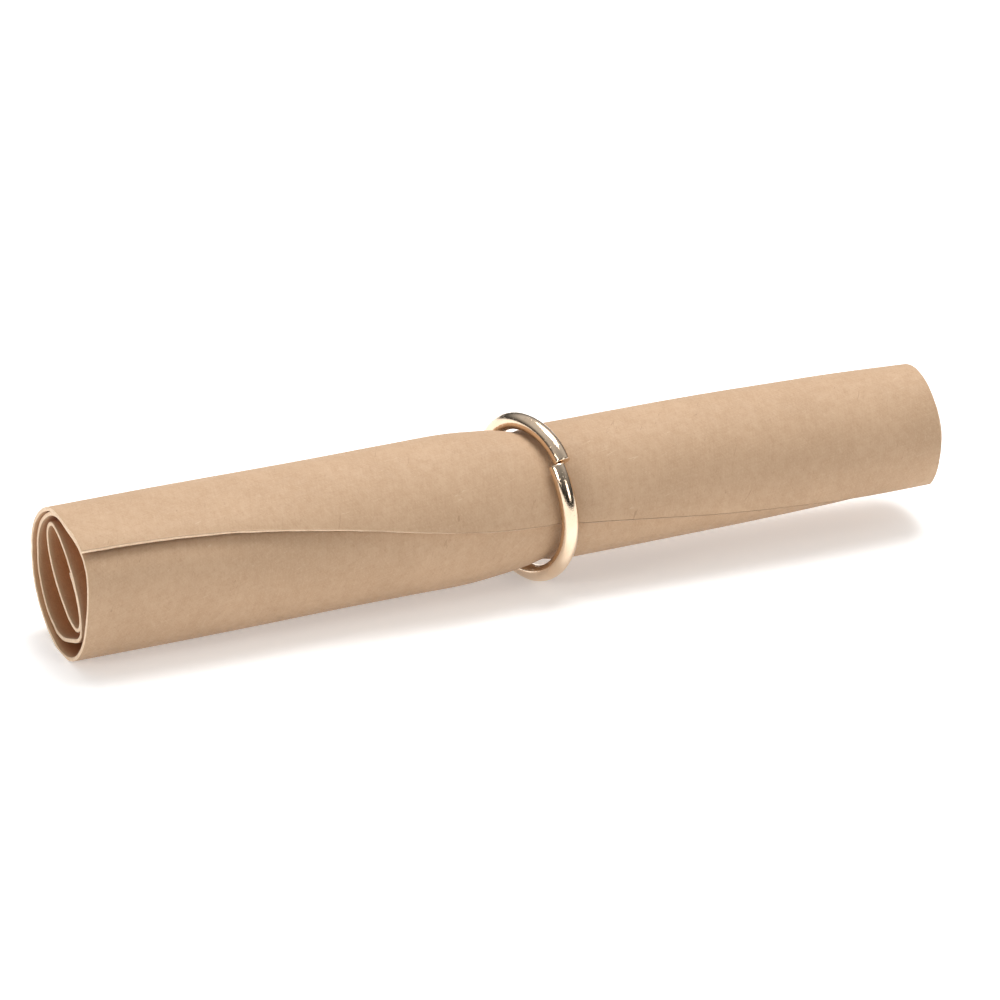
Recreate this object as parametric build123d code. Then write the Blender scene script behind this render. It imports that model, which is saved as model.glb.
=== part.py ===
from build123d import *
import math
import os

# A small scroll: one sheet of kraft paper rolled up loosely and held closed at its
# middle by a split ring of round wire. Millimetres, +X along the roll towards its
# narrow end, +Z up. The roll lies on its wide end and on the underside of the ring.
#
# Angles round the roll ("turning angle") are in degrees, seen from the wide (-X) end:
# 0 is the near side (-Y), 90 the top, 180 the far side, 270 the underside. The sheet
# is followed from its outer free edge inwards, with the angle growing.

# ---- driving dimensions -------------------------------------------------------
sheet_width = 54.0        # along the roll
sheet_length = 65.0       # rolled up
sheet_thickness = 0.24
turn_gap = 0.05           # air between turns that hug each other
telescope = 0.45          # how far the inner end stands towards +X

ring_outer_diameter = 10.0
ring_wire_diameter = 1.0
ring_x = 1.9              # ring's centre along the roll
ring_normal = (0.983, 0.184, -0.022)
ring_gap_deg = 2.2        # the split in the ring
ring_gap_at = 40.0        # where the split is, from the near side towards the top
ring_offset = 0.44        # sideways shift of the two cut ends

wide_end_rest = 0.12      # depth of the flat spot under the wide end
ring_rest = 0.16          # depth of the flat spot under the ring

# sections along the roll: x, half height, half depth (outer face of the paper)
height_at = [(-27.0, 4.52), (-20.0, 4.50), (-12.0, 4.45), (-6.0, 4.39), (-2.5, 4.28),
             (-0.4, 4.10), (1.2, 3.94), (3.5, 3.92), (7.0, 3.93), (13.0, 3.93),
             (20.0, 3.87), (27.5, 3.64)]
depth_at = [(-27.0, 4.50), (-20.0, 4.42), (-12.0, 4.30), (-6.0, 4.17), (-2.5, 4.06),
            (-0.4, 3.94), (1.2, 3.84), (3.5, 3.83), (7.0, 3.83), (13.0, 3.82),
            (20.0, 3.74), (27.5, 3.50)]
# turning angle of the outer free edge
edge_at = [(-27.0, 44.5), (-23.0, 43.5), (-18.6, 40.5), (-12.0, 29.5), (-8.8, 21.5),
           (-5.5, 12.5), (-2.0, 4.5), (2.0, -1.5), (5.7, -7.5), (9.0, -14.0),
           (12.6, -21.5), (15.8, -27.5), (20.0, -36.0), (27.5, -52.0)]
# full turns that hug the outside before the sheet leaves it for the core
hug_at = [(-27.0, 1.50), (-12.0, 1.62), (0.0, 1.85), (13.0, 2.05), (27.5, 2.20)]
# the flattened core: half length, half width and lean of its oval
core_long_at = [(-27.0, 3.56), (-14.0, 3.36), (0.0, 2.75), (13.0, 2.55), (27.5, 2.42)]
core_wide_at = [(-27.0, 1.66), (-14.0, 1.68), (0.0, 1.70), (13.0, 1.66), (27.5, 1.62)]
core_lean_at = [(-27.0, 137.0), (-10.0, 131.0), (10.0, 118.0), (27.5, 104.0)]

stations = [-27.0, -26.0, -24.0, -21.5, -19.0, -16.5, -14.0, -11.5, -9.0, -7.0, -5.0,
            -3.5, -2.0, -0.5, 1.0, 2.5, 4.0, 6.0, 8.0, 10.5, 13.0, 15.5, 18.0, 20.5,
            23.0, 25.2, 27.0]
columns = 232             # points along the rolled sheet


# ---- helpers ------------------------------------------------------------------
def smooth(table, x):
    """A smooth curve through a short table (monotone cubic)."""
    xs = [p[0] for p in table]
    ys = [p[1] for p in table]
    n = len(xs)
    d = [(ys[i + 1] - ys[i]) / (xs[i + 1] - xs[i]) for i in range(n - 1)]
    m = [d[0]] + [0.0] * (n - 2) + [d[-1]]
    for i in range(1, n - 1):
        if d[i - 1] * d[i] > 0:
            w1 = 2 * (xs[i + 1] - xs[i]) + xs[i] - xs[i - 1]
            w2 = xs[i + 1] - xs[i] + 2 * (xs[i] - xs[i - 1])
            m[i] = (w1 + w2) / (w1 / d[i - 1] + w2 / d[i])
    x = min(max(x, xs[0]), xs[-1])
    i = 0
    while i < n - 2 and x > xs[i + 1]:
        i += 1
    h = xs[i + 1] - xs[i]
    t = (x - xs[i]) / h
    return (ys[i] * (1 + 2 * t) * (1 - t) ** 2 + m[i] * h * t * (1 - t) ** 2
            + ys[i + 1] * t * t * (3 - 2 * t) + m[i + 1] * h * t * t * (t - 1))


def step(a, b, v):
    t = min(max((v - a) / (b - a), 0.0), 1.0)
    return t * t * t * (10 - 15 * t + 6 * t * t)


def bump(angle, at, width):
    d = (angle - at + 180.0) % 360.0 - 180.0
    return math.exp(-(d / width) ** 2)


def cosd(a):
    return math.cos(math.radians(a))


def sind(a):
    return math.sin(math.radians(a))


pitch = sheet_thickness + turn_gap


def radius_at(x):
    """The radius of the sheet's middle surface in the section at x, as a function of
    the turning angle and of how many turns the sheet makes there."""
    e = smooth(edge_at, x)
    a, b = smooth(height_at, x), smooth(depth_at, x)
    hug = smooth(hug_at, x)
    long, wide = smooth(core_long_at, x), smooth(core_wide_at, x)
    lean = smooth(core_lean_at, x)
    loose = 1.0 - step(-27.0, -5.0, x)     # the loose shape of the wide end fades out
    slim = step(6.0, 27.0, x)              # the narrow end's own shape fades in
    aside = 0.34 * (1.0 - step(-27.0, 5.0, x))

    def outline(angle):
        r = 1.0 / math.hypot(cosd(angle - 117) / a, sind(angle - 117) / b)
        if loose > 0:
            r += loose * (0.60 * bump(angle, e - 9, 25) - 0.20 * bump(angle, e + 33, 22)
                          + 0.20 * bump(angle, 156, 24) - 0.22 * bump(angle, 236, 30)
                          + 0.06 * bump(angle, 304, 20) - 0.05 * bump(angle, 338, 18))
        if slim > 0:
            r += slim * (0.06 * bump(angle, 200, 26) - 0.08 * bump(angle, 70, 30)
                         - 0.07 * bump(angle, 330, 24))
        return r

    def core(angle):
        # an oval round a point `aside` along its own length
        c, s = cosd(angle - lean), sind(angle - lean)
        k = (c / long) ** 2 + (s / wide) ** 2
        m = aside * c / long ** 2
        return (m + math.sqrt(m * m + (1 - (aside / long) ** 2) * k)) / k

    def middle(angle, turns):
        n = (angle - e) / 360.0
        outside = outline(angle) - sheet_thickness / 2 - pitch * n
        if n < hug:
            return outside
        # an oval crosses the radius at a slant, so its turns need a little more room
        inside = core(angle) - sheet_thickness / 2 + 1.38 * pitch * (turns - n - 1.0)
        return outside + (min(inside, outside) - outside) * step(hug, hug + 0.36, n)

    return e, middle


def section(x, fractions):
    """The sheet's middle line at x: points (y, z) and outward normals at the given
    fractions of the sheet's length, so that its length is the same in every section."""
    e, middle = radius_at(x)

    def line(turns, per_turn):
        count = int(turns * per_turn)
        pts = []
        for k in range(count + 1):
            angle = e + 360.0 * turns * k / count
            r = middle(angle, turns)
            pts.append((-r * cosd(angle), r * sind(angle)))
        run = [0.0]
        for p, q in zip(pts, pts[1:]):
            run.append(run[-1] + math.dist(p, q))
        return pts, run

    low, high = 1.5, 8.0
    for _ in range(18):
        turns = (low + high) / 2
        if line(turns, 72)[1][-1] < sheet_length:
            low = turns
        else:
            high = turns
    pts, run = line((low + high) / 2, 300)
    out, i = [], 0
    for f in fractions:
        s = f * run[-1]
        while i < len(run) - 2 and run[i + 1] < s:
            i += 1
        t = (s - run[i]) / (run[i + 1] - run[i])
        a, b = max(i - 2, 0), min(i + 3, len(pts) - 1)
        y = pts[i][0] + t * (pts[i + 1][0] - pts[i][0])
        z = pts[i][1] + t * (pts[i + 1][1] - pts[i][1])
        dy, dz = pts[b][0] - pts[a][0], pts[b][1] - pts[a][1]
        n = math.hypot(dy, dz)
        # the outward side is to the left of the way inwards, seen from the wide end
        out.append((y, z, -dz / n, dy / n))
    return out, (low + high) / 2


# ---- the ring's place ---------------------------------------------------------
wire_r = ring_wire_diameter / 2
ring_r = ring_outer_diameter / 2 - wire_r
size = math.sqrt(sum(c * c for c in ring_normal))
nx, ny, nz = (c / size for c in ring_normal)
reach_down = ring_r * math.sqrt(1 - nz * nz) + wire_r      # centre to lowest point
ring_z = reach_down - ring_rest                            # ring's centre above the table

# the roll's middle line passes through the ring's centre and dips to the wide end
lowest = min(section(-sheet_width / 2, [0.16 + 0.02 * k for k in range(9)])[0],
             key=lambda p: p[1] + p[3] * sheet_thickness / 2)
wide_z = -(lowest[1] + lowest[3] * sheet_thickness / 2) - wide_end_rest
slope = (ring_z - wide_z) / (ring_x + sheet_width / 2)


def centre_z(x):
    return ring_z + slope * (x - ring_x)


# ---- the rolled sheet ---------------------------------------------------------
fractions = [i / (columns - 1) for i in range(columns)]
outer, inner = [], []
for x in stations:
    row, turns = section(x, fractions)
    if x in (stations[0], stations[-1]):
        print("x", x, "turns", round(turns, 3))
    zc = centre_z(x)
    half = sheet_thickness / 2
    out_row, in_row = [], []
    for f, (y, z, ny_, nz_) in zip(fractions, row):
        shift = telescope * f * f * (3 - 2 * f)
        out_row.append(Vector(x + shift, y + half * ny_, zc + z + half * nz_))
        in_row.append(Vector(x + shift, y - half * ny_, zc + z - half * nz_))
    outer.append(out_row)
    inner.append(in_row)

outer_face = Face.make_surface_from_array_of_points(outer, tol=0.004, min_deg=3, max_deg=3)
inner_face = Face.make_surface_from_array_of_points(inner, tol=0.004, min_deg=3, max_deg=3)


def matching(face, p, q):
    """The face's border edge that runs between two corners."""
    def far(edge):
        a, b = edge @ 0, edge @ 1
        return min((a - p).length + (b - q).length, (a - q).length + (b - p).length)
    return min(face.edges(), key=far)


corners = [((0, 0), (0, -1)), ((0, -1), (-1, -1)), ((-1, -1), (-1, 0)), ((-1, 0), (0, 0))]
sides = []
for (i, j), (k, m) in corners:
    one = matching(outer_face, outer[i][j], outer[k][m])
    two = matching(inner_face, inner[i][j], inner[k][m])
    sides.append(Face.make_surface_from_curves(one, two))
rolled_sheet = Solid(Shell([outer_face, inner_face, *sides]))
if rolled_sheet.volume < 0:
    rolled_sheet = Solid(Shell([-f for f in rolled_sheet.faces()]))

# the flat spot that the soft roll gets where its wide end bears on the table
table = Solid.make_box(120, 60, 20, Plane((-60, -30, -20)))
rolled_sheet = rolled_sheet.cut(table)
if isinstance(rolled_sheet, (ShapeList, list)):
    rolled_sheet = max(rolled_sheet, key=lambda s: s.volume)

# ---- the split ring -----------------------------------------------------------
normal = Vector(nx, ny, nz)
upright = Vector(0, -nz, ny)
if upright.Z < 0:
    upright = -upright
upright = upright.normalized()                 # in the ring's plane, across the roll
across = upright.cross(normal).normalized()    # in the ring's plane, to the near side
if across.Y > 0:
    across = -across
ring_centre = Vector(ring_x, 0, centre_z(ring_x))


def on_ring(deg, shift):
    return (ring_centre + across * (ring_r * cosd(deg)) + upright * (ring_r * sind(deg))
            + normal * shift)


# the wire's middle line: a circle whose last stretches part sideways at the split
start, sweep_deg = ring_gap_at + ring_gap_deg / 2, 360.0 - ring_gap_deg
path_points = []
steps = 36
for k in range(steps + 1):
    d = sweep_deg * k / steps
    side = 0.5 * ring_offset * (step(70.0, 0.0, d) if d < 180 else -step(sweep_deg - 70.0, sweep_deg, d))
    path_points.append(on_ring(start + d, side))
path = Edge.make_spline(path_points)
profile = Wire.make_circle(wire_r, Plane(origin=path @ 0, z_dir=path % 0))
jump_ring = Solid.sweep(profile, path=path)
jump_ring = jump_ring.cut(table)
if isinstance(jump_ring, (ShapeList, list)):
    jump_ring = max(jump_ring, key=lambda s: s.volume)

# ---- origin at the middle of the footprint's box, on the table ----------------
# the sheet's ends give the box's length, the ring is what is widest in Y
far_end = max(p.X for p in outer[-1])
wide_y = ring_r * math.sqrt(1 - ny * ny) + wire_r
sheet_y = [p.Y for row in outer for p in row]
assert max(sheet_y) < wide_y and min(sheet_y) > -wide_y
move = Location((-(far_end - sheet_width / 2) / 2, 0, 0))
pieces = {"rolled_sheet": rolled_sheet, "jump_ring": jump_ring}
os.makedirs("parts", exist_ok=True)
for name, shape in pieces.items():
    shape = shape.moved(move)
    print(name, "valid", shape.is_valid, "volume", round(shape.volume, 2),
          "centre of mass", shape.center(CenterOf.MASS))
    export_step(shape, f"parts/{name}.step")
print("moved by", move.position, "ring centre", ring_centre + move.position,
      "sliding direction", Vector(1, 0, slope).normalized())
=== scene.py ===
import math

import bpy
import numpy as np
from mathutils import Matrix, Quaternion, Vector


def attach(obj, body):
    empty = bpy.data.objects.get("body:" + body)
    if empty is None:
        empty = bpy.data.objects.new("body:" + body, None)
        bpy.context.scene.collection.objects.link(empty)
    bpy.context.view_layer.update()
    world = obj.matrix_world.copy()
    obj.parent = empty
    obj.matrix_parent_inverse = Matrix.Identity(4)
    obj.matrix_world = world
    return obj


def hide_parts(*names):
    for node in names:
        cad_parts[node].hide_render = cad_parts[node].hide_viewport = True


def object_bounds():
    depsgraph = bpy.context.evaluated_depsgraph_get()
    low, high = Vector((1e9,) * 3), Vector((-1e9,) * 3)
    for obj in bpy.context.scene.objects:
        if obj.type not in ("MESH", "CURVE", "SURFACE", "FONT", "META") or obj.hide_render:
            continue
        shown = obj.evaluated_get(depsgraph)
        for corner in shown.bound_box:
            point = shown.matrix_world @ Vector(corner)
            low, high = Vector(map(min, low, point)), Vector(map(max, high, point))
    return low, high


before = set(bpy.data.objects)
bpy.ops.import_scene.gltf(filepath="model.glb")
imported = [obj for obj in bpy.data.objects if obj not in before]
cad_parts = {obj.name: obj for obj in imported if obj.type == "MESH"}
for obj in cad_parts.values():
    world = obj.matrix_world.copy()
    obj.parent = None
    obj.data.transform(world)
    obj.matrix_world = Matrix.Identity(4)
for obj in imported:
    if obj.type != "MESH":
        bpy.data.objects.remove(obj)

cad_low, cad_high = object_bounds()

MM = 0.001

# ---- the roll's dimensions, in millimetres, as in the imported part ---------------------
sheet_width, sheet_length, sheet_thickness = 54.0, 65.0, 0.24
turn_gap, telescope = 0.05, 0.45
ring_outer_diameter, ring_wire_diameter, ring_x = 10.0, 1.0, 1.9
ring_normal = (0.983, 0.184, -0.022)
ring_gap_deg, ring_gap_at, ring_offset = 2.2, 40.0, 0.44
wide_end_rest, ring_rest = 0.12, 0.16
shift_x = -telescope / 2
pitch = sheet_thickness + turn_gap

height_at = [(-27.0, 4.52), (-20.0, 4.50), (-12.0, 4.45), (-6.0, 4.39), (-2.5, 4.28),
             (-0.4, 4.10), (1.2, 3.94), (3.5, 3.92), (7.0, 3.93), (13.0, 3.93),
             (20.0, 3.87), (27.5, 3.64)]
depth_at = [(-27.0, 4.50), (-20.0, 4.42), (-12.0, 4.30), (-6.0, 4.17), (-2.5, 4.06),
            (-0.4, 3.94), (1.2, 3.84), (3.5, 3.83), (7.0, 3.83), (13.0, 3.82),
            (20.0, 3.74), (27.5, 3.50)]
edge_at = [(-27.0, 44.5), (-23.0, 43.5), (-18.6, 40.5), (-12.0, 29.5), (-8.8, 21.5),
           (-5.5, 12.5), (-2.0, 4.5), (2.0, -1.5), (5.7, -7.5), (9.0, -14.0),
           (12.6, -21.5), (15.8, -27.5), (20.0, -36.0), (27.5, -52.0)]
hug_at = [(-27.0, 1.50), (-12.0, 1.62), (0.0, 1.85), (13.0, 2.05), (27.5, 2.20)]
core_long_at = [(-27.0, 3.56), (-14.0, 3.36), (0.0, 2.75), (13.0, 2.55), (27.5, 2.42)]
core_wide_at = [(-27.0, 1.66), (-14.0, 1.68), (0.0, 1.70), (13.0, 1.66), (27.5, 1.62)]
core_lean_at = [(-27.0, 137.0), (-10.0, 131.0), (10.0, 118.0), (27.5, 104.0)]
# the paper springs out a little on both sides of the ring, and dips under it
spring_at = [(-27.0, 0.0), (-20.0, 0.05), (-12.0, 0.06), (-6.0, 0.15), (-2.5, 0.26),
             (2.0, 0.26), (5.0, 0.22), (10.0, 0.20), (16.0, 0.18), (21.0, 0.14), (27.5, 0.02)]

# and its free edge stands up a little where nothing holds it down
lift_at = [(-27.0, 0.20), (-18.0, 0.19), (-10.0, 0.16), (-5.0, 0.10), (-2.0, 0.05), (2.0, 0.01), (6.0, 0.05),
           (12.0, 0.10), (20.0, 0.12), (27.5, 0.15)]


def smooth(table, x):
    """A smooth curve through a short table (monotone cubic)."""
    xs = [p[0] for p in table]
    ys = [p[1] for p in table]
    n = len(xs)
    d = [(ys[i + 1] - ys[i]) / (xs[i + 1] - xs[i]) for i in range(n - 1)]
    m = [d[0]] + [0.0] * (n - 2) + [d[-1]]
    for i in range(1, n - 1):
        if d[i - 1] * d[i] > 0:
            w1 = 2 * (xs[i + 1] - xs[i]) + xs[i] - xs[i - 1]
            w2 = xs[i + 1] - xs[i] + 2 * (xs[i] - xs[i - 1])
            m[i] = (w1 + w2) / (w1 / d[i - 1] + w2 / d[i])
    x = min(max(x, xs[0]), xs[-1])
    i = 0
    while i < n - 2 and x > xs[i + 1]:
        i += 1
    h = xs[i + 1] - xs[i]
    t = (x - xs[i]) / h
    return (ys[i] * (1 + 2 * t) * (1 - t) ** 2 + m[i] * h * t * (1 - t) ** 2
            + ys[i + 1] * t * t * (3 - 2 * t) + m[i + 1] * h * t * t * (t - 1))


def step(a, b, v):
    t = np.clip((v - a) / (b - a), 0.0, 1.0)
    return t * t * t * (10 - 15 * t + 6 * t * t)


def bump(angle, at, width):
    d = (angle - at + 180.0) % 360.0 - 180.0
    return np.exp(-(d / width) ** 2)


def cosd(a):
    return np.cos(np.radians(a))


def sind(a):
    return np.sin(np.radians(a))


# ---- repeatable soft noise for the sheet's unevenness ----------------------------------
_rng = np.random.default_rng(20)
_waves = [(_rng.integers(1, 6), _rng.uniform(0.05, 0.42), _rng.uniform(0, 6.283), _rng.uniform(0.4, 1.0))
          for _ in range(14)]


def unevenness(angle, x):
    """About -1 to 1, the same for every turn at one place round the roll."""
    s = 0.0
    for k, w, p, a in _waves:
        s = s + a * np.sin(k * np.radians(angle) + w * x * 1.2 + p)
    return s / 4.5


def radius_at(x):
    e = smooth(edge_at, x)
    a, b = smooth(height_at, x), smooth(depth_at, x)
    hug = smooth(hug_at, x)
    long, wide = smooth(core_long_at, x), smooth(core_wide_at, x)
    lean = smooth(core_lean_at, x)
    loose = float(1.0 - step(-27.0, -5.0, x))
    slim = float(step(6.0, 27.0, x))
    aside = 0.34 * float(1.0 - step(-27.0, 5.0, x))

    def outline(angle):
        r = 1.0 / np.hypot(cosd(angle - 117) / a, sind(angle - 117) / b)
        r = r + loose * (0.60 * bump(angle, e - 9, 25) - 0.20 * bump(angle, e + 33, 22)
                         + 0.20 * bump(angle, 156, 24) - 0.22 * bump(angle, 236, 30)
                         + 0.06 * bump(angle, 304, 20) - 0.05 * bump(angle, 338, 18))
        r = r + slim * (0.06 * bump(angle, 200, 26) - 0.08 * bump(angle, 70, 30)
                        - 0.07 * bump(angle, 330, 24))
        return r

    def core(angle):
        c, s = cosd(angle - lean), sind(angle - lean)
        k = (c / long) ** 2 + (s / wide) ** 2
        m = aside * c / long ** 2
        return (m + np.sqrt(m * m + (1 - (aside / long) ** 2) * k)) / k

    def middle(angle, turns):
        n = (angle - e) / 360.0
        outside = outline(angle) - sheet_thickness / 2 - pitch * n
        inside = core(angle) - sheet_thickness / 2 + 1.38 * pitch * (turns - n - 1.0)
        return outside + (np.minimum(inside, outside) - outside) * step(hug, hug + 0.36, n)

    return e, middle


def section(x, fractions):
    """Points (y, z), outward normals and turning angles of the sheet's middle line at x."""
    e, middle = radius_at(x)

    def line(turns, per_turn):
        angle = e + 360.0 * turns * np.linspace(0, 1, int(turns * per_turn) + 1)
        r = middle(angle, turns)
        pts = np.stack([-r * cosd(angle), r * sind(angle)], 1)
        run = np.concatenate([[0], np.cumsum(np.hypot(*np.diff(pts, axis=0).T))])
        return angle, pts, run

    low, high = 1.5, 8.0
    for _ in range(18):
        turns = (low + high) / 2
        if line(turns, 72)[2][-1] < sheet_length:
            low = turns
        else:
            high = turns
    angle, pts, run = line((low + high) / 2, 720)
    d = np.gradient(pts, run, axis=0)
    d /= np.linalg.norm(d, axis=1)[:, None]
    s = fractions * run[-1]
    y, z = np.interp(s, run, pts[:, 0]), np.interp(s, run, pts[:, 1])
    ty, tz = np.interp(s, run, d[:, 0]), np.interp(s, run, d[:, 1])
    n = np.hypot(ty, tz)
    return y, z, -tz / n, ty / n, np.interp(s, run, angle)


# ---- the ring's place and the roll's middle line -----------------------------------------
wire_r = ring_wire_diameter / 2
ring_r = ring_outer_diameter / 2 - wire_r
normal = Vector(ring_normal).normalized()
ring_z = ring_r * math.sqrt(1 - normal.z ** 2) + wire_r - ring_rest
_y, _z, _ny, _nz, _a = section(-sheet_width / 2, np.array([0.16 + 0.02 * k for k in range(9)]))
wide_z = -float(np.min(_z + _nz * sheet_thickness / 2)) - wide_end_rest
slope = (ring_z - wide_z) / (ring_x + sheet_width / 2)

# ---- the rolled sheet ----------------------------------------------------------------------
# rows run along the roll, columns along the sheet from its outer free edge inwards;
# the outer turn, which shows, has the closest columns
NV, NU = 150, 286
t = np.linspace(0, 1, NU)
fractions = t ** 1.28
v = np.linspace(-1, 1, NV)
stations = sheet_width / 2 * (0.82 * v + 0.18 * np.sin(v * math.pi / 2))

mid = np.zeros((NV, NU, 3))
nor = np.zeros((NV, NU, 3))
turn_angle = np.zeros((NV, NU))
for i, x in enumerate(stations):
    y, z, ny, nz, ang = section(x, fractions)
    wobble = 0.030 * unevenness(ang, x) * (0.35 + 0.65 * abs(x - ring_x) / (abs(x - ring_x) + 4.0))
    mid[i, :, 0] = x + telescope * fractions ** 2 * (3 - 2 * fractions)
    aside = x - ring_x + normal.y / normal.x * y + normal.z / normal.x * z
    spring = smooth(spring_at, x) * (1.0 - np.exp(-(aside / 0.85) ** 2))
    lift = smooth(lift_at, x) * np.exp(-(fractions * sheet_length / (1.5 + 0.9 * float(step(0.0, -12.0, x)))) ** 2)
    out_by = wobble + spring + lift
    mid[i, :, 1] = y + out_by * ny
    mid[i, :, 2] = ring_z + slope * (x - ring_x) + z + out_by * nz
    nor[i, :, 1], nor[i, :, 2] = ny, nz
    turn_angle[i] = ang

along = np.gradient(mid, axis=0)                    # along the roll
round_ = np.gradient(mid, axis=1)                   # along the sheet
normals = np.cross(round_, along)
normals /= np.linalg.norm(normals, axis=2)[:, :, None]
flip = np.sign(np.sum(normals * nor, axis=2))
normals *= flip[:, :, None]
along /= np.linalg.norm(along, axis=2)[:, :, None]
round_ /= np.linalg.norm(round_, axis=2)[:, :, None]

# the border's cut edges aren't perfectly straight
edge_rng = np.random.default_rng(7)


def ragged(n, scale, amount):
    k = edge_rng.normal(size=n + 2 * scale)
    w = np.hanning(2 * scale + 1)
    s = np.convolve(k, w / np.sqrt((w ** 2).sum()), "same")[scale:scale + n]
    return amount * s


half = sheet_thickness / 2
bevel = 0.055
profile = [(bevel, half), (bevel * 0.29, half - bevel * 0.29), (0.0, half - bevel), (0.0, 0.0),
           (0.0, -half + bevel), (bevel * 0.29, -half + bevel * 0.29), (bevel, -half)]

ends_in = [np.abs(ragged(NU, 4, 0.012)) + np.abs(ragged(NU, 1, 0.006)) for _ in range(2)]
sides_in = [np.abs(ragged(NV, 3, 0.012)) + np.abs(ragged(NV, 1, 0.006)) for _ in range(2)]


def layer(offset, inset):
    """The sheet's points at an offset from its middle surface, border drawn in by inset."""
    p = mid + normals * offset
    p[0] += along[0] * (inset + ends_in[0])[:, None]
    p[-1] -= along[-1] * (inset + ends_in[1])[:, None]
    p[:, 0] += round_[:, 0] * (inset + sides_in[0])[:, None]
    p[:, -1] -= round_[:, -1] * (inset + sides_in[1])[:, None]
    return p


outer_pts, inner_pts = layer(half, bevel), layer(-half, bevel)
verts = [outer_pts.reshape(-1, 3), inner_pts.reshape(-1, 3)]
count = NV * NU
grid = np.arange(count).reshape(NV, NU)
faces = []
a, b, c, d = grid[:-1, :-1], grid[1:, :-1], grid[1:, 1:], grid[:-1, 1:]
quads_out = np.stack([a, b, c, d], -1).reshape(-1, 4)
quads_in = np.stack([d, c, b, a], -1).reshape(-1, 4) + count
border = np.concatenate([grid[0, :-1], grid[:-1, -1], grid[-1, :0:-1], grid[:0:-1, 0]])
rim_faces = []
previous, base = border, 2 * count
edge_value = [np.zeros(count), np.zeros(count)]
for inset, offset in profile[1:-1]:
    ring_pts = layer(offset, inset).reshape(-1, 3)[border]
    verts.append(ring_pts)
    edge_value.append(np.ones(len(border)))
    ids = base + np.arange(len(border))
    base += len(border)
    rim_faces.append(np.stack([previous, np.roll(previous, -1), np.roll(ids, -1), ids], -1))
    previous = ids
ids = border + count
rim_faces.append(np.stack([previous, np.roll(previous, -1), np.roll(ids, -1), ids], -1))
points = np.concatenate(verts)
points[:, 0] += shift_x
points[:, 2] = np.maximum(points[:, 2], 0.0)
all_faces = np.concatenate([quads_out, quads_in] + rim_faces)

# turn the faces outwards: compare the first outer quad with its normal
q = points[all_faces[0]]
if np.dot(np.cross(q[1] - q[0], q[2] - q[1]), normals[0, 0]) < 0:
    all_faces = all_faces[:, ::-1]

# where each point is on the flat sheet, in millimetres, and a painted shade for the turns inside the roll
flat_u = np.tile(fractions * sheet_length, (NV, 1))
flat_v = np.tile(stations[:, None], (1, NU))
u_all = np.concatenate([flat_u.ravel(), flat_u.ravel()] + [flat_u.ravel()[border]] * (len(profile) - 2))
v_all = np.concatenate([flat_v.ravel(), flat_v.ravel()] + [flat_v.ravel()[border]] * (len(profile) - 2))
edge_all = np.concatenate(edge_value)
inner_all = np.concatenate([np.zeros(count), np.ones(count)] + [np.full(len(border), 0.5)] * (len(profile) - 2))

# painted shade: the turns covered by the outer turn, and the whole inner face, are darkened more the further they lie
# from the roll's ends
from_end = sheet_width / 2 - np.abs(stations)
covered = step(1.0, 1.08, (turn_angle - turn_angle[:, :1]) / 360.0)
shade_in = (1.0 - np.exp(-from_end / 0.42))[:, None]
painted_shade_out, painted_shade_in = shade_in * covered, shade_in * np.ones((1, NU))
painted_shade_all = np.concatenate([painted_shade_out.ravel(), painted_shade_in.ravel()] + [painted_shade_out.ravel()[border] * 0.0] * (len(profile) - 2))

mesh = bpy.data.meshes.new("kraft_sheet")
mesh.from_pydata((points * MM).tolist(), [], all_faces.tolist())
mesh.validate()
uv = mesh.uv_layers.new(name="sheet_mm")
loop_vertex = np.zeros(len(mesh.loops), np.int32)
mesh.loops.foreach_get("vertex_index", loop_vertex)
coords = np.stack([u_all[loop_vertex] / 100.0, v_all[loop_vertex] / 100.0 + 0.3], 1)
uv.data.foreach_set("uv", coords.astype(np.float32).ravel())
for name, values in (("cut_edge", edge_all), ("inner_face", inner_all), ("painted_shade", painted_shade_all)):
    at = mesh.attributes.new(name, "FLOAT", "POINT")
    at.data.foreach_set("value", values.astype(np.float32))
mesh.polygons.foreach_set("use_smooth", [True] * len(mesh.polygons))
mesh.update()
sheet = bpy.data.objects.new("kraft_sheet", mesh)
bpy.context.scene.collection.objects.link(sheet)

# ---- the split ring ---------------------------------------------------------------------------
upright = Vector((0, -normal.z, normal.y))
if upright.z < 0:
    upright = -upright
upright.normalize()
across = upright.cross(normal).normalized()
if across.y > 0:
    across = -across
centre = Vector((ring_x + shift_x, 0, ring_z))
A, B, N, C = (np.array(w) for w in (across, upright, normal, centre))
start, sweep = ring_gap_at + ring_gap_deg / 2, 360.0 - ring_gap_deg
RU, RV = 300, 40
deg = np.linspace(0, sweep, RU)
side = 0.5 * ring_offset * np.where(deg < 180, step(70.0, 0.0, deg), -step(sweep - 70.0, sweep, deg))
theta = np.radians(start + deg)
line = C + ring_r * (np.cos(theta)[:, None] * A + np.sin(theta)[:, None] * B) + side[:, None] * N
tangent = np.gradient(line, axis=0)
tangent /= np.linalg.norm(tangent, axis=1)[:, None]
outward = np.cos(theta)[:, None] * A + np.sin(theta)[:, None] * B
third = np.cross(tangent, outward)
third /= np.linalg.norm(third, axis=1)[:, None]
outward = np.cross(third, tangent)
phi = np.linspace(0, 2 * math.pi, RV, endpoint=False)
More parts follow.
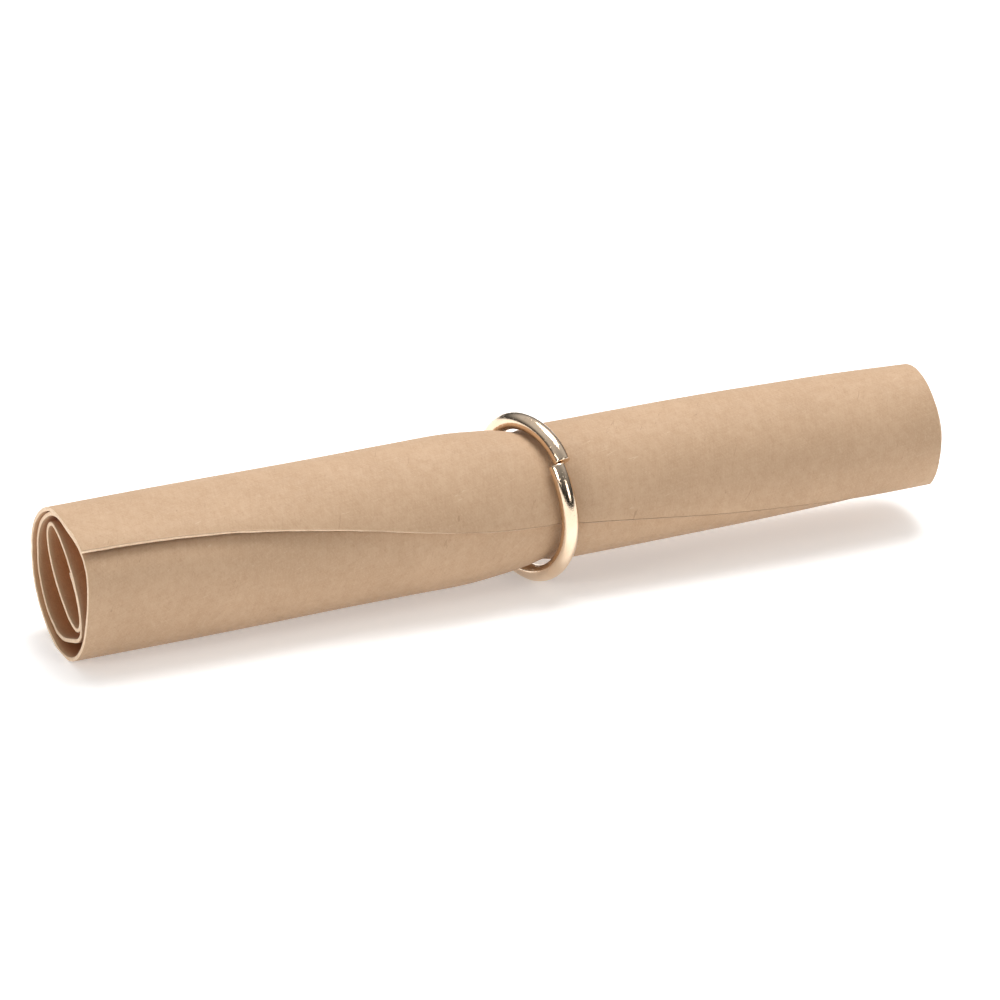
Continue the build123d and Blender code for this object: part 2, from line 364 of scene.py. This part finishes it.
# drawn wire isn't perfectly even, and it is a little flattened where the cutter bit
arc = deg / 180 * math.pi * ring_r
cut = np.exp(-(arc / 0.45) ** 2) + np.exp(-((arc[-1] - arc) / 0.45) ** 2)
rw = wire_r * (1 - 0.004 * (1 + np.sin(arc * 1.7 + 0.4)) / 2)
ring_verts = (line[:, None, :]
              + (rw * (1 - 0.05 * cut))[:, None, None] * np.cos(phi)[None, :, None] * outward[:, None, :]
              + (rw * (1 - 0.02 * cut))[:, None, None] * np.sin(phi)[None, :, None] * third[:, None, :])
rings = [ring_verts.reshape(-1, 3)]
gid = np.arange(RU * RV).reshape(RU, RV)
rf = [np.stack([gid[:-1], np.roll(gid[:-1], -1, 1), np.roll(gid[1:], -1, 1), gid[1:]], -1).reshape(-1, 4)]
base = RU * RV
tri = []
for row, sign in ((0, -1.0), (RU - 1, 1.0)):
    # a cut end: a small rounded rim, then a wedge-shaped face as side cutters leave it
    rim = gid[row]
    for shrink, reach in ((0.965, 0.020), (0.90, 0.036), (0.74, 0.050), (0.45, 0.062), (0.18, 0.066)):
        wedge = 0.030 * np.abs(np.cos(phi)) * shrink
        p = (line[row] + shrink * (ring_verts[row] - line[row])
             + sign * tangent[row] * (reach - wedge * 0.6)[:, None])
        rings.append(p)
        ids = base + np.arange(RV)
        base += RV
        f = np.stack([rim, ids, np.roll(ids, -1), np.roll(rim, -1)], -1)
        rf.append(f if sign < 0 else f[:, ::-1])
        rim = ids
    rings.append((line[row] + sign * tangent[row] * 0.068)[None])
    for k in range(RV):
        f = [int(rim[k]), base, int(rim[(k + 1) % RV])]
        tri.append(f if sign < 0 else f[::-1])
    base += 1
rp = np.concatenate(rings)
rp[:, 2] = np.maximum(rp[:, 2], 0.0)
rmesh = bpy.data.meshes.new("split_ring")
rmesh.from_pydata((rp * MM).tolist(), [], np.concatenate(rf).tolist() + tri)
rmesh.validate()
q = rp[np.concatenate(rf)[0]]
if np.dot(np.cross(q[1] - q[0], q[2] - q[1]), q.mean(0) - line[0]) < 0:
    rmesh.flip_normals()
at = rmesh.attributes.new("round_wire", "FLOAT", "POINT")
val = np.zeros(len(rp), np.float32)
val[:RU * RV] = np.tile(phi / (2 * math.pi), RU)
at.data.foreach_set("value", val)
rmesh.polygons.foreach_set("use_smooth", [True] * len(rmesh.polygons))
rmesh.update()
ring = bpy.data.objects.new("split_ring", rmesh)
bpy.context.scene.collection.objects.link(ring)


# ---- materials ------------------------------------------------------------------------------------
class Nodes:
    def __init__(self, name):
        self.m = bpy.data.materials.new(name)
        self.m.use_nodes = True
        self.t = self.m.node_tree
        self.t.nodes.clear()
        self.out = self.t.nodes.new("ShaderNodeOutputMaterial")
        self.shader = self.t.nodes.new("ShaderNodeBsdfPrincipled")
        self.t.links.new(self.shader.outputs[0], self.out.inputs["Surface"])

    def new(self, kind, **props):
        n = self.t.nodes.new(kind)
        for k, w in props.items():
            setattr(n, k, w)
        return n

    def link(self, a, b):
        self.t.links.new(a, b)

    def put(self, socket, value):
        if isinstance(value, bpy.types.NodeSocket):
            self.link(value, socket)
        else:
            socket.default_value = value

    def math(self, op, a, b=0.0, c=0.0, clamp=False):
        n = self.new("ShaderNodeMath", operation=op, use_clamp=clamp)
        for s, w in zip(n.inputs, (a, b, c)):
            self.put(s, w)
        return n.outputs[0]

    def mix(self, factor, a, b, blend="MIX"):
        n = self.new("ShaderNodeMix", data_type="RGBA", blend_type=blend)
        self.put(n.inputs[0], factor)
        self.put(n.inputs[6], a)
        self.put(n.inputs[7], b)
        return n.outputs[2]

    def noise(self, vector, scale, detail=2.0, rough=0.5, distortion=0.0):
        n = self.new("ShaderNodeTexNoise")
        self.link(vector, n.inputs["Vector"])
        n.inputs["Scale"].default_value = scale
        n.inputs["Detail"].default_value = detail
        n.inputs["Roughness"].default_value = rough
        n.inputs["Distortion"].default_value = distortion
        return n.outputs["Fac"]

    def spread(self, value, low, high, a=0.0, b=1.0):
        n = self.new("ShaderNodeMapRange", clamp=True)
        n.interpolation_type = "SMOOTHSTEP"
        self.put(n.inputs["Value"], value)
        for s, w in zip(("From Min", "From Max", "To Min", "To Max"), (low, high, a, b)):
            n.inputs[s].default_value = w
        return n.outputs["Result"]

    def stretched(self, vector, scale, turn):
        n = self.new("ShaderNodeMapping", vector_type="TEXTURE")     # turns first, then scales
        self.link(vector, n.inputs["Vector"])
        n.inputs["Rotation"].default_value = (0, 0, math.radians(turn))
        n.inputs["Scale"].default_value = tuple(1.0 / w for w in scale)
        return n.outputs[0]


def kraft():
    k = Nodes("kraft_paper")
    uv = k.new("ShaderNodeUVMap", uv_map="sheet_mm")
    mm = k.new("ShaderNodeVectorMath", operation="SCALE")
    k.link(uv.outputs[0], mm.inputs[0])
    mm.inputs["Scale"].default_value = 100.0
    face = k.new("ShaderNodeAttribute", attribute_name="inner_face")
    edge = k.new("ShaderNodeAttribute", attribute_name="cut_edge")
    # the two faces of the sheet don't show the same fibres
    shifted = k.new("ShaderNodeCombineXYZ")
    k.link(k.math("MULTIPLY", face.outputs["Fac"], 37.0), shifted.inputs[2])
    place = k.new("ShaderNodeVectorMath", operation="ADD")
    k.link(mm.outputs[0], place.inputs[0])
    k.link(shifted.outputs[0], place.inputs[1])
    p = place.outputs[0]

    cloud = k.noise(p, 0.22, 3.0, 0.55)
    mottle = k.noise(p, 1.6, 4.0, 0.62)
    grain = k.noise(p, 9.0, 3.0, 0.6)
    fibres = None
    for turn, seed in ((12, (1.2, 9.0, 1)), (-38, (1.5, 11.0, 1)), (74, (1.3, 10.0, 1))):
        f = k.noise(k.stretched(p, seed, turn), 1.0, 3.0, 0.65, 0.6)
        fibres = f if fibres is None else k.math("ADD", fibres, f)
    fibres = k.math("MULTIPLY", fibres, 1 / 3)
    dark_fleck = k.spread(k.noise(k.stretched(p, (1.1, 6.5, 1), 28), 1.0, 2.0, 0.5, 0.9), 0.695, 0.76)
    light_fleck = k.spread(k.noise(k.stretched(p, (7.5, 1.0, 1), -19), 1.0, 2.0, 0.5, 0.9), 0.70, 0.77)

    base = k.mix(k.spread(cloud, 0.34, 0.66), (0.455, 0.301, 0.184, 1), (0.500, 0.336, 0.210, 1))
    base = k.mix(k.spread(mottle, 0.36, 0.66, 0.0, 0.50), base, (0.430, 0.278, 0.167, 1))
    base = k.mix(k.spread(grain, 0.40, 0.66, 0.0, 0.35), base, (0.530, 0.367, 0.238, 1))
    base = k.mix(k.spread(fibres, 0.50, 0.62, 0.0, 0.45), base, (0.545, 0.382, 0.250, 1))
    base = k.mix(k.spread(fibres, 0.48, 0.38, 0.0, 0.45), base, (0.385, 0.240, 0.140, 1))
    base = k.mix(k.math("MULTIPLY", dark_fleck, 0.42), base, (0.26, 0.150, 0.080, 1))
    base = k.mix(k.math("MULTIPLY", light_fleck, 0.45), base, (0.62, 0.47, 0.33, 1))
    # the inner face, seen deep in the roll, is a shade warmer
    base = k.mix(k.math("MULTIPLY", face.outputs["Fac"], 0.25), base, (0.460, 0.270, 0.140, 1))
    # painted shade: the covered turns and the inner face are made darker and warmer away from the ends, as inside a
    # rolled tube
    painted_shade = k.new("ShaderNodeAttribute", attribute_name="painted_shade")
    base = k.mix(painted_shade.outputs["Fac"], base, (0.96, 0.56, 0.30, 1), "MULTIPLY")
    # the cut edges show pale torn fibres
    pale = k.mix(k.spread(grain, 0.35, 0.65), (0.76, 0.55, 0.37, 1), (0.84, 0.66, 0.48, 1))
    base = k.mix(k.spread(edge.outputs["Fac"], 0.25, 0.9, 0.0, 0.85), base, pale)
    k.link(base, k.shader.inputs["Base Color"])
    k.link(k.spread(mottle, 0.3, 0.7, 0.66, 0.80), k.shader.inputs["Roughness"])
    k.shader.inputs["IOR"].default_value = 1.45
    k.shader.inputs["Specular IOR Level"].default_value = 0.35
    k.shader.inputs["Sheen Weight"].default_value = 0.06
    k.shader.inputs["Sheen Roughness"].default_value = 0.5

    height = k.math("MULTIPLY_ADD", fibres, 0.9, k.math("MULTIPLY", grain, 0.35))
    height = k.math("MULTIPLY_ADD", mottle, 0.5, height)
    rise = k.new("ShaderNodeBump")
    rise.inputs["Strength"].default_value = 0.45
    rise.inputs["Distance"].default_value = 0.00006
    k.link(height, rise.inputs["Height"])
    k.link(rise.outputs[0], k.shader.inputs["Normal"])
    return k.m


def gold():
    g = Nodes("pale_gold_wire")
    where = g.new("ShaderNodeTexCoord").outputs["Object"]
    mm = g.new("ShaderNodeVectorMath", operation="SCALE")
    g.link(where, mm.inputs[0])
    mm.inputs["Scale"].default_value = 1000.0
    p = mm.outputs[0]
    tone = g.noise(p, 0.8, 3.0, 0.5)
    fine = g.noise(p, 14.0, 2.0, 0.6)
    scuff = g.spread(g.noise(g.stretched(p, (2.0, 18.0, 6.0), 31), 1.0, 2.0, 0.5), 0.62, 0.72)
    base = g.mix(g.spread(tone, 0.35, 0.65), (0.76, 0.585, 0.420, 1), (0.82, 0.655, 0.490, 1))
    base = g.mix(g.math("MULTIPLY", scuff, 0.25), base, (0.62, 0.47, 0.33, 1))
    g.link(base, g.shader.inputs["Base Color"])
    g.shader.inputs["Metallic"].default_value = 1.0
    rough = g.math("MULTIPLY_ADD", scuff, 0.12, g.spread(fine, 0.3, 0.7, 0.085, 0.15))
    g.link(rough, g.shader.inputs["Roughness"])
    rise = g.new("ShaderNodeBump")
    rise.inputs["Strength"].default_value = 0.18
    rise.inputs["Distance"].default_value = 0.00002
    g.link(g.math("ADD", fine, scuff), rise.inputs["Height"])
    g.link(rise.outputs[0], g.shader.inputs["Normal"])
    return g.m


sheet.data.materials.append(kraft())
ring.data.materials.append(gold())

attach(sheet, "sheet")
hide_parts("rolled_sheet")
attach(ring, "ring")
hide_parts("jump_ring")

# ---- floor, light and camera ---------------------------------------------------------------------
fm = Nodes("pale_floor")
fc = fm.new("ShaderNodeTexCoord").outputs["Object"]
fn = fm.noise(fc, 40.0, 3.0, 0.5)
fm.link(fm.mix(fn, (0.90, 0.90, 0.895, 1), (0.92, 0.92, 0.915, 1)), fm.shader.inputs["Base Color"])
fm.shader.inputs["Roughness"].default_value = 0.7
fm.shader.inputs["Specular IOR Level"].default_value = 0.2
fm.shader.inputs["Emission Color"].default_value = (1, 1, 1, 1)          # a lit table, as under a cut-out
fm.shader.inputs["Emission Strength"].default_value = 0.30
size = 3.0
fmesh = bpy.data.meshes.new("floor")
fmesh.from_pydata([(-size, -size, -0.00002), (size, -size, -0.00002), (size, size, -0.00002), (-size, size, -0.00002)],
                  [], [(0, 1, 2, 3)])
floor = bpy.data.objects.new("floor", fmesh)
fmesh.materials.append(fm.m)
bpy.context.scene.collection.objects.link(floor)

world = bpy.data.worlds.new("studio")
bpy.context.scene.world = world
world.use_nodes = True
wt = world.node_tree
wt.nodes.clear()
wo = wt.nodes.new("ShaderNodeOutputWorld")
wb = wt.nodes.new("ShaderNodeBackground")
wc = wt.nodes.new("ShaderNodeTexCoord")
ws = wt.nodes.new("ShaderNodeSeparateXYZ")
wr = wt.nodes.new("ShaderNodeValToRGB")
wt.links.new(wc.outputs["Generated"], ws.inputs[0])
wt.links.new(ws.outputs["Z"], wr.inputs[0])
wr.color_ramp.elements[0].position = 0.0
wr.color_ramp.elements[0].color = (0.16, 0.155, 0.15, 1)
wr.color_ramp.elements[1].position = 0.80
wr.color_ramp.elements[1].color = (1, 1, 1, 1)
for at, tone in ((0.16, 0.10), (0.34, 0.42), (0.55, 0.90)):
    stop = wr.color_ramp.elements.new(at)
    stop.color = (tone, tone, tone * 1.01, 1)
wm = wt.nodes.new("ShaderNodeMapRange")
wm.interpolation_type = "SMOOTHSTEP"
wt.links.new(ws.outputs["Y"], wm.inputs["Value"])
for socket, value in (("From Min", -0.95), ("From Max", 0.25), ("To Min", 0.22), ("To Max", 1.0)):
    wm.inputs[socket].default_value = value
wv = wt.nodes.new("ShaderNodeVectorMath")
wv.operation = "SCALE"
wt.links.new(wr.outputs[0], wv.inputs[0])
wt.links.new(wm.outputs["Result"], wv.inputs["Scale"])
wt.links.new(wv.outputs[0], wb.inputs["Color"])
wb.inputs["Strength"].default_value = 0.72
wt.links.new(wb.outputs[0], wo.inputs["Surface"])


def area(name, place, target, width, height, power, colour=(1, 1, 1)):
    data = bpy.data.lights.new(name, "AREA")
    data.shape = "RECTANGLE"
    data.size, data.size_y = width, height
    data.energy = power
    data.color = colour
    o = bpy.data.objects.new(name, data)
    o.location = place
    o.rotation_mode = "QUATERNION"
    o.rotation_quaternion = (Vector(target) - Vector(place)).to_track_quat("-Z", "Y")
    bpy.context.scene.collection.objects.link(o)
    return o


area("key", (0.09, 0.10, 0.405), (0, 0, 0), 0.26, 0.26, 1.92, (0.995, 0.995, 1.0))
area("fill", (0.17, -0.43, 0.20), (0, 0, 0), 0.20, 0.20, 0.42, (1.0, 0.99, 0.98))
area("end", (-0.42, -0.13, 0.17), (-0.02, 0, 0.005), 0.12, 0.12, 0.50, (1.0, 0.985, 0.96))

scene = bpy.context.scene
scene.view_settings.view_transform = "Standard"

az, el = math.radians(-24.5), math.radians(25.0)
back = Vector((math.sin(az) * math.cos(el), -math.cos(az) * math.cos(el), math.sin(el)))
target = (cad_low + cad_high) / 2
cam_data = bpy.data.cameras.new("camera")
cam_data.sensor_width = 36.0
cam_data.lens = 262.0
cam_data.clip_start, cam_data.clip_end = 0.01, 20.0
cam = bpy.data.objects.new("camera", cam_data)
cam.location = target + back * 0.42
cam.rotation_mode = "QUATERNION"
level = (-back).to_track_quat("-Z", "Y")
cam.rotation_quaternion = level @ Quaternion((0, 0, 1), math.radians(1.5))      # a hand-held camera's lean
scene.collection.objects.link(cam)
scene.camera = cam

bpy.context.view_layer.update()
